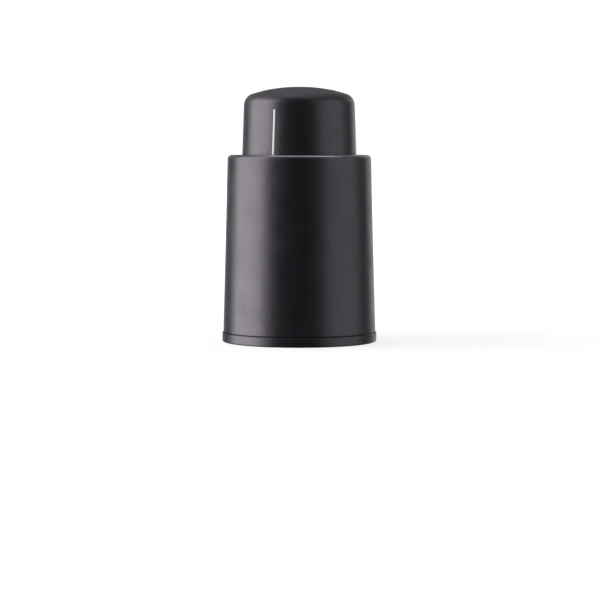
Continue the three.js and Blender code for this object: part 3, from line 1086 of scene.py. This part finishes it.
low, high = (Vector(corner) for corner in cad_box)
SIZE = high.z - low.z
CENTRE = Vector((0, 0, (low.z + high.z) / 2))
EYE_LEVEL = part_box("outer_sleeve")[1].z + 3.0 * MM
CAMERA_DISTANCE = 620 * MM
CAMERA_SIDE = 0.18 * MM
CAMERA_TILT = 4.094  # degrees down
CAMERA_LENS = 130.5
FLOOR_RADIUS = 30 * SIZE
FADE_START, FADE_END = 0.8 * SIZE, 6 * SIZE  # where the floor turns into the white of the room
FLOOR_GLOW = 1.3


def floor():
    """Round pale table that fades into the white of the room."""
    rings, steps = 24, 96
    vertices = [(0, 0, low.z)]
    for i in range(1, rings + 1):
        reach = FLOOR_RADIUS * (i / rings) ** 2
        for k in range(steps):
            angle = 2 * math.pi * k / steps
            vertices.append((reach * math.cos(angle), reach * math.sin(angle), low.z))
    faces = [(0, 1 + k, 1 + (k + 1) % steps) for k in range(steps)]
    for i in range(rings - 1):
        a, b = 1 + i * steps, 1 + (i + 1) * steps
        for k in range(steps):
            following = (k + 1) % steps
            faces.append((a + k, b + k, b + following, a + following))
    table = new_piece("floor", vertices, faces)
    surface = Surface("floor_white", (0.86, 0.86, 0.86), 0.9)
    surface.shader.inputs["Specular IOR Level"].default_value = 0.0
    reach = surface.node("ShaderNodeVectorMath", operation="LENGTH")
    surface.link(surface.place, reach.inputs[0])
    fade = surface.ranged(reach.outputs["Value"], 0.6, 1.0, FADE_START, FADE_END)
    glow = surface.node("ShaderNodeEmission")
    glow.inputs["Strength"].default_value = FLOOR_GLOW
    mix = surface.node("ShaderNodeMixShader")
    surface.link(fade, mix.inputs[0])
    surface.link(surface.shader.outputs[0], mix.inputs[1])
    surface.link(glow.outputs[0], mix.inputs[2])
    output = surface.tree.nodes["Material Output"]
    surface.link(mix.outputs[0], output.inputs["Surface"])
    table.data.materials.append(surface.material)
    table.visible_glossy = False
    table.visible_diffuse = False


def softbox(name, azimuth, elevation, distance, width, height, power):
    """Rectangular light that faces the stopper, in degrees, metres and watts. Azimuth 0 is where the
    camera stands, and it grows to the camera's right."""
    light = bpy.data.lights.new(name, "AREA")
    light.shape = "RECTANGLE"
    light.size, light.size_y = width, height
    light.energy = power
    lamp = bpy.data.objects.new(name, light)
    bpy.context.scene.collection.objects.link(lamp)
    a, e = math.radians(azimuth), math.radians(elevation)
    away = Vector((math.sin(a) * math.cos(e), -math.cos(a) * math.cos(e), math.sin(e)))
    lamp.location = CENTRE + away * distance
    lamp.rotation_mode = "QUATERNION"
    lamp.rotation_quaternion = (-away).to_track_quat("-Z", "Y")
    lamp.visible_camera = False
    return lamp


def only_on(lamp, piece_name):
    """Keeps a lamp to one piece, as a flag on a stand would."""
    lit = bpy.data.collections.new(lamp.name + "_receives")
    lit.objects.link(bpy.data.objects[piece_name])
    lamp.light_linking.receiver_collection = lit


def room():
    """White to the camera, dim grey to everything that the light meets."""
    world = bpy.data.worlds.new("room")
    bpy.context.scene.world = world
    world.use_nodes = True
    tree = world.node_tree
    back = tree.nodes["Background"]
    seen = tree.nodes.new("ShaderNodeBackground")
    seen.inputs["Color"].default_value = (1, 1, 1, 1)
    seen.inputs["Strength"].default_value = 1.05
    back.inputs["Color"].default_value = (0.92, 0.9, 1.1, 1)
    back.inputs["Strength"].default_value = 0.045
    path = tree.nodes.new("ShaderNodeLightPath")
    mix = tree.nodes.new("ShaderNodeMixShader")
    tree.links.new(path.outputs["Is Camera Ray"], mix.inputs[0])
    tree.links.new(back.outputs[0], mix.inputs[1])
    tree.links.new(seen.outputs[0], mix.inputs[2])
    tree.links.new(mix.outputs[0], tree.nodes["World Output"].inputs["Surface"])


def camera():
    """Long lens a little above the sleeve's rim, tilted down."""
    data = bpy.data.cameras.new("camera")
    data.sensor_width = 36
    data.lens = CAMERA_LENS
    data.clip_start, data.clip_end = 0.01, 50
    view = bpy.data.objects.new("camera", data)
    bpy.context.scene.collection.objects.link(view)
    view.location = (CAMERA_SIDE, -CAMERA_DISTANCE, EYE_LEVEL)
    view.rotation_euler = (math.radians(90 - CAMERA_TILT), 0, 0)
    bpy.context.scene.camera = view


floor()
room()
camera()
# name, azimuth, elevation, distance, width, height, power
softbox("key_left", -86.5, 8, 0.85, 1.02, 1.2, 14.0)
softbox("fill_right", 72, 8, 1.0, 1.25, 1.4, 4.3)
softbox("rim_right", 154, 6, 1.2, 0.75, 1.4, 3.4)
softbox("rim_left", -160, 6, 1.2, 0.4, 1.4, 1.1)
softbox("overhead", 180, 78, 0.9, 0.7, 0.7, 2.5)
only_on(softbox("rim_top", 168, 80, 0.7, 0.9, 0.3, 4.2), "outer_sleeve_look")
only_on(softbox("line_front", -30, 10, 1.0, 0.5, 0.5, 2.6), "index_line")
bpy.context.scene.view_settings.view_transform = "Standard"
